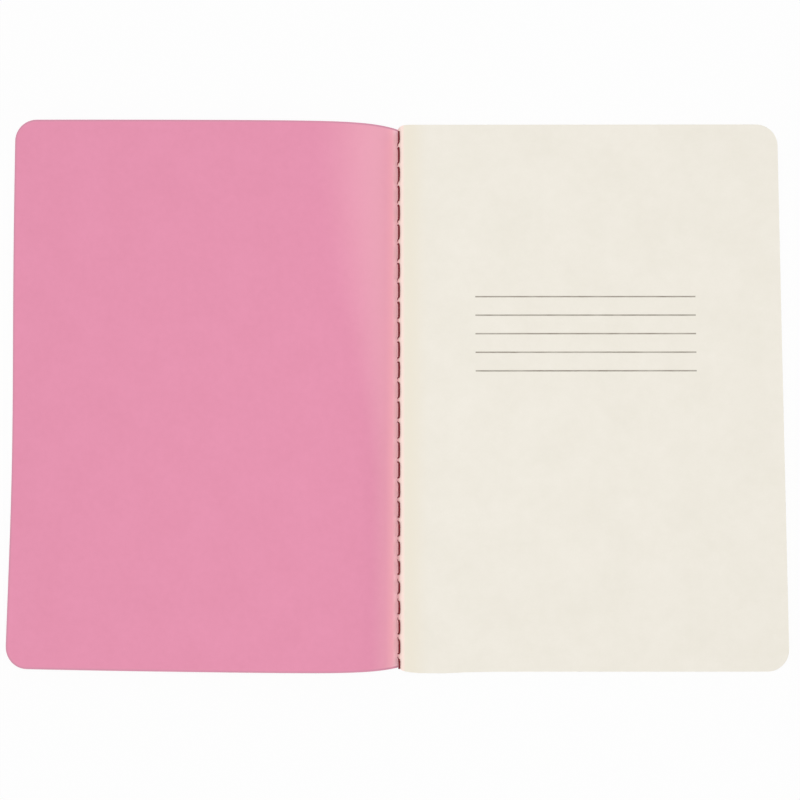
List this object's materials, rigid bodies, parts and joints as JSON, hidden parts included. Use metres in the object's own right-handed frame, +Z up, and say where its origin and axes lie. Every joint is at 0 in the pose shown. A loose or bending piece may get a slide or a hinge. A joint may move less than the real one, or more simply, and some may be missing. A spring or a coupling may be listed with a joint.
{
  "type": "notebook",
  "caption": "A5 thread-sewn notebook with a pink card cover, 32 cream leaves and dark red stitches, lying open at the first page.",
  "frame": {"origin": "on the table under the seam, at the middle of the open notebook's footprint", "axes": "+X from the seam across the pages to their outer edge, +Y to the head of the page, +Z up out of the page"},
  "size_m": [0.296, 0.21, 0.0086],
  "materials": {
    "cover_card": "matt",
    "page_paper": "matt",
    "thread": "matt",
    "spine_glue": "satin"
  },
  "bodies": {
    "base": {"back_cover": "cover_card", "spine_glue": "spine_glue", "needle_thread": "thread", "bobbin_thread": "thread", "sheet_01_fold": "page_paper", "sheet_02_fold": "page_paper", "sheet_03_fold": "page_paper", "sheet_04_fold": "page_paper", "sheet_05_fold": "page_paper", "sheet_06_fold": "page_paper", "sheet_07_fold": "page_paper", "sheet_08_fold": "page_paper", "sheet_09_fold": "page_paper", "sheet_10_fold": "page_paper", "sheet_11_fold": "page_paper", "sheet_12_fold": "page_paper", "sheet_13_fold": "page_paper", "sheet_14_fold": "page_paper", "sheet_15_fold": "page_paper", "sheet_16_fold": "page_paper"},
    "cover_crease": {"cover_fold": "cover_card"},
    "front_cover": {"front_cover": "cover_card"},
    "leaf_01": {"leaf_01": "page_paper"},
    "leaf_02": {"leaf_02": "page_paper"},
    "leaf_03": {"leaf_03": "page_paper"},
    "leaf_04": {"leaf_04": "page_paper"},
    "leaf_05": {"leaf_05": "page_paper"},
    "leaf_06": {"leaf_06": "page_paper"},
    "leaf_07": {"leaf_07": "page_paper"},
    "leaf_08": {"leaf_08": "page_paper"},
    "leaf_09": {"leaf_09": "page_paper"},
    "leaf_10": {"leaf_10": "page_paper"},
    "leaf_11": {"leaf_11": "page_paper"},
    "leaf_12": {"leaf_12": "page_paper"},
    "leaf_13": {"leaf_13": "page_paper"},
    "leaf_14": {"leaf_14": "page_paper"},
    "leaf_15": {"leaf_15": "page_paper"},
    "leaf_16": {"leaf_16": "page_paper"},
    "leaf_17": {"leaf_17": "page_paper"},
    "leaf_18": {"leaf_18": "page_paper"},
    "leaf_19": {"leaf_19": "page_paper"},
    "leaf_20": {"leaf_20": "page_paper"},
    "leaf_21": {"leaf_21": "page_paper"},
    "leaf_22": {"leaf_22": "page_paper"},
    "leaf_23": {"leaf_23": "page_paper"},
    "leaf_24": {"leaf_24": "page_paper"},
    "leaf_25": {"leaf_25": "page_paper"},
    "leaf_26": {"leaf_26": "page_paper"},
    "leaf_27": {"leaf_27": "page_paper"},
    "leaf_28": {"leaf_28": "page_paper"},
    "leaf_29": {"leaf_29": "page_paper"},
    "leaf_30": {"leaf_30": "page_paper"},
    "leaf_31": {"leaf_31": "page_paper"},
    "leaf_32": {"leaf_32": "page_paper"}
  },
  "joints": [
    {"name": "cover_crease_hinge", "type": "hinge", "parent": "base", "child": "cover_crease", "pos_m": [0.0002, 0, 0], "axis": [0, 1, 0], "range_deg": [-172, 0]},
    {"name": "front_cover_hinge", "type": "hinge", "parent": "cover_crease", "child": "front_cover", "pos_m": [0, 0, 0.0065], "axis": [0, 1, 0], "range_deg": [0, 178.5]},
    {"name": "leaf_01_hinge", "type": "hinge", "parent": "base", "child": "leaf_01", "pos_m": [0, 0, 0.0065], "axis": [0, -1, 0], "range_deg": [0, 178]},
    {"name": "leaf_02_hinge", "type": "hinge", "parent": "base", "child": "leaf_02", "pos_m": [0, 0, 0.0065], "axis": [0, -1, 0], "range_deg": [0, 178]},
    {"name": "leaf_03_hinge", "type": "hinge", "parent": "base", "child": "leaf_03", "pos_m": [0, 0, 0.0065], "axis": [0, -1, 0], "range_deg": [0, 178]},
    {"name": "leaf_04_hinge", "type": "hinge", "parent": "base", "child": "leaf_04", "pos_m": [0, 0, 0.0065], "axis": [0, -1, 0], "range_deg": [0, 178]},
    {"name": "leaf_05_hinge", "type": "hinge", "parent": "base", "child": "leaf_05", "pos_m": [0, 0, 0.0065], "axis": [0, -1, 0], "range_deg": [0, 178]},
    {"name": "leaf_06_hinge", "type": "hinge", "parent": "base", "child": "leaf_06", "pos_m": [0, 0, 0.0065], "axis": [0, -1, 0], "range_deg": [0, 178]},
    {"name": "leaf_07_hinge", "type": "hinge", "parent": "base", "child": "leaf_07", "pos_m": [0, 0, 0.0065], "axis": [0, -1, 0], "range_deg": [0, 178]},
    {"name": "leaf_08_hinge", "type": "hinge", "parent": "base", "child": "leaf_08", "pos_m": [0, 0, 0.0065], "axis": [0, -1, 0], "range_deg": [0, 178]},
    {"name": "leaf_09_hinge", "type": "hinge", "parent": "base", "child": "leaf_09", "pos_m": [0, 0, 0.0065], "axis": [0, -1, 0], "range_deg": [0, 178]},
    {"name": "leaf_10_hinge", "type": "hinge", "parent": "base", "child": "leaf_10", "pos_m": [0, 0, 0.0065], "axis": [0, -1, 0], "range_deg": [0, 178]},
    {"name": "leaf_11_hinge", "type": "hinge", "parent": "base", "child": "leaf_11", "pos_m": [0, 0, 0.0065], "axis": [0, -1, 0], "range_deg": [0, 178]},
    {"name": "leaf_12_hinge", "type": "hinge", "parent": "base", "child": "leaf_12", "pos_m": [0, 0, 0.0065], "axis": [0, -1, 0], "range_deg": [0, 178]},
    {"name": "leaf_13_hinge", "type": "hinge", "parent": "base", "child": "leaf_13", "pos_m": [0, 0, 0.0065], "axis": [0, -1, 0], "range_deg": [0, 178]},
    {"name": "leaf_14_hinge", "type": "hinge", "parent": "base", "child": "leaf_14", "pos_m": [0, 0, 0.0065], "axis": [0, -1, 0], "range_deg": [0, 178]},
    {"name": "leaf_15_hinge", "type": "hinge", "parent": "base", "child": "leaf_15", "pos_m": [0, 0, 0.0065], "axis": [0, -1, 0], "range_deg": [0, 178]},
    {"name": "leaf_16_hinge", "type": "hinge", "parent": "base", "child": "leaf_16", "pos_m": [0, 0, 0.0065], "axis": [0, -1, 0], "range_deg": [0, 178]},
    {"name": "leaf_17_hinge", "type": "hinge", "parent": "base", "child": "leaf_17", "pos_m": [0, 0, 0.0065], "axis": [0, -1, 0], "range_deg": [0, 178]},
    {"name": "leaf_18_hinge", "type": "hinge", "parent": "base", "child": "leaf_18", "pos_m": [0, 0, 0.0065], "axis": [0, -1, 0], "range_deg": [0, 178]},
    {"name": "leaf_19_hinge", "type": "hinge", "parent": "base", "child": "leaf_19", "pos_m": [0, 0, 0.0065], "axis": [0, -1, 0], "range_deg": [0, 178]},
    {"name": "leaf_20_hinge", "type": "hinge", "parent": "base", "child": "leaf_20", "pos_m": [0, 0, 0.0065], "axis": [0, -1, 0], "range_deg": [0, 178]},
    {"name": "leaf_21_hinge", "type": "hinge", "parent": "base", "child": "leaf_21", "pos_m": [0, 0, 0.0065], "axis": [0, -1, 0], "range_deg": [0, 178]},
    {"name": "leaf_22_hinge", "type": "hinge", "parent": "base", "child": "leaf_22", "pos_m": [0, 0, 0.0065], "axis": [0, -1, 0], "range_deg": [0, 178]},
    {"name": "leaf_23_hinge", "type": "hinge", "parent": "base", "child": "leaf_23", "pos_m": [0, 0, 0.0065], "axis": [0, -1, 0], "range_deg": [0, 178]},
    {"name": "leaf_24_hinge", "type": "hinge", "parent": "base", "child": "leaf_24", "pos_m": [0, 0, 0.0065], "axis": [0, -1, 0], "range_deg": [0, 178]},
    {"name": "leaf_25_hinge", "type": "hinge", "parent": "base", "child": "leaf_25", "pos_m": [0, 0, 0.0065], "axis": [0, -1, 0], "range_deg": [0, 178]},
    {"name": "leaf_26_hinge", "type": "hinge", "parent": "base", "child": "leaf_26", "pos_m": [0, 0, 0.0065], "axis": [0, -1, 0], "range_deg": [0, 178]},
    {"name": "leaf_27_hinge", "type": "hinge", "parent": "base", "child": "leaf_27", "pos_m": [0, 0, 0.0065], "axis": [0, -1, 0], "range_deg": [0, 178]},
    {"name": "leaf_28_hinge", "type": "hinge", "parent": "base", "child": "leaf_28", "pos_m": [0, 0, 0.0065], "axis": [0, -1, 0], "range_deg": [0, 178]},
    {"name": "leaf_29_hinge", "type": "hinge", "parent": "base", "child": "leaf_29", "pos_m": [0, 0, 0.0065], "axis": [0, -1, 0], "range_deg": [0, 178]},
    {"name": "leaf_30_hinge", "type": "hinge", "parent": "base", "child": "leaf_30", "pos_m": [0, 0, 0.0065], "axis": [0, -1, 0], "range_deg": [0, 178]},
    {"name": "leaf_31_hinge", "type": "hinge", "parent": "base", "child": "leaf_31", "pos_m": [0, 0, 0.0065], "axis": [0, -1, 0], "range_deg": [0, 178]},
    {"name": "leaf_32_hinge", "type": "hinge", "parent": "base", "child": "leaf_32", "pos_m": [0, 0, 0.0065], "axis": [0, -1, 0], "range_deg": [0, 178]}
  ],
  "couplings": [
    {"joint": "leaf_02_hinge", "follows": "leaf_01_hinge", "ratio": 0.98586},
    {"joint": "leaf_03_hinge", "follows": "leaf_01_hinge", "ratio": 0.97173},
    {"joint": "leaf_04_hinge", "follows": "leaf_01_hinge", "ratio": 0.95759},
    {"joint": "leaf_05_hinge", "follows": "leaf_01_hinge", "ratio": 0.94346},
    {"joint": "leaf_06_hinge", "follows": "leaf_01_hinge", "ratio": 0.92932},
    {"joint": "leaf_07_hinge", "follows": "leaf_01_hinge", "ratio": 0.91519},
    {"joint": "leaf_08_hinge", "follows": "leaf_01_hinge", "ratio": 0.90105},
    {"joint": "leaf_09_hinge", "follows": "leaf_01_hinge", "ratio": 0.88692},
    {"joint": "leaf_10_hinge", "follows": "leaf_01_hinge", "ratio": 0.87278},
    {"joint": "leaf_11_hinge", "follows": "leaf_01_hinge", "ratio": 0.85864},
    {"joint": "leaf_12_hinge", "follows": "leaf_01_hinge", "ratio": 0.84451},
    {"joint": "leaf_13_hinge", "follows": "leaf_01_hinge", "ratio": 0.83037},
    {"joint": "leaf_14_hinge", "follows": "leaf_01_hinge", "ratio": 0.81624},
    {"joint": "leaf_15_hinge", "follows": "leaf_01_hinge", "ratio": 0.8021},
    {"joint": "leaf_16_hinge", "follows": "leaf_01_hinge", "ratio": 0.78797},
    {"joint": "leaf_17_hinge", "follows": "leaf_01_hinge", "ratio": 0.77383},
    {"joint": "leaf_18_hinge", "follows": "leaf_01_hinge", "ratio": 0.7597},
    {"joint": "leaf_19_hinge", "follows": "leaf_01_hinge", "ratio": 0.74556},
    {"joint": "leaf_20_hinge", "follows": "leaf_01_hinge", "ratio": 0.73142},
    {"joint": "leaf_21_hinge", "follows": "leaf_01_hinge", "ratio": 0.71729},
    {"joint": "leaf_22_hinge", "follows": "leaf_01_hinge", "ratio": 0.70315},
    {"joint": "leaf_23_hinge", "follows": "leaf_01_hinge", "ratio": 0.68902},
    {"joint": "leaf_24_hinge", "follows": "leaf_01_hinge", "ratio": 0.67488},
    {"joint": "leaf_25_hinge", "follows": "leaf_01_hinge", "ratio": 0.66075},
    {"joint": "leaf_26_hinge", "follows": "leaf_01_hinge", "ratio": 0.64661},
    {"joint": "leaf_27_hinge", "follows": "leaf_01_hinge", "ratio": 0.63248},
    {"joint": "leaf_28_hinge", "follows": "leaf_01_hinge", "ratio": 0.61834},
    {"joint": "leaf_29_hinge", "follows": "leaf_01_hinge", "ratio": 0.6042},
    {"joint": "leaf_30_hinge", "follows": "leaf_01_hinge", "ratio": 0.59007},
    {"joint": "leaf_31_hinge", "follows": "leaf_01_hinge", "ratio": 0.57593},
    {"joint": "leaf_32_hinge", "follows": "leaf_01_hinge", "ratio": 0.5618}
  ]
}
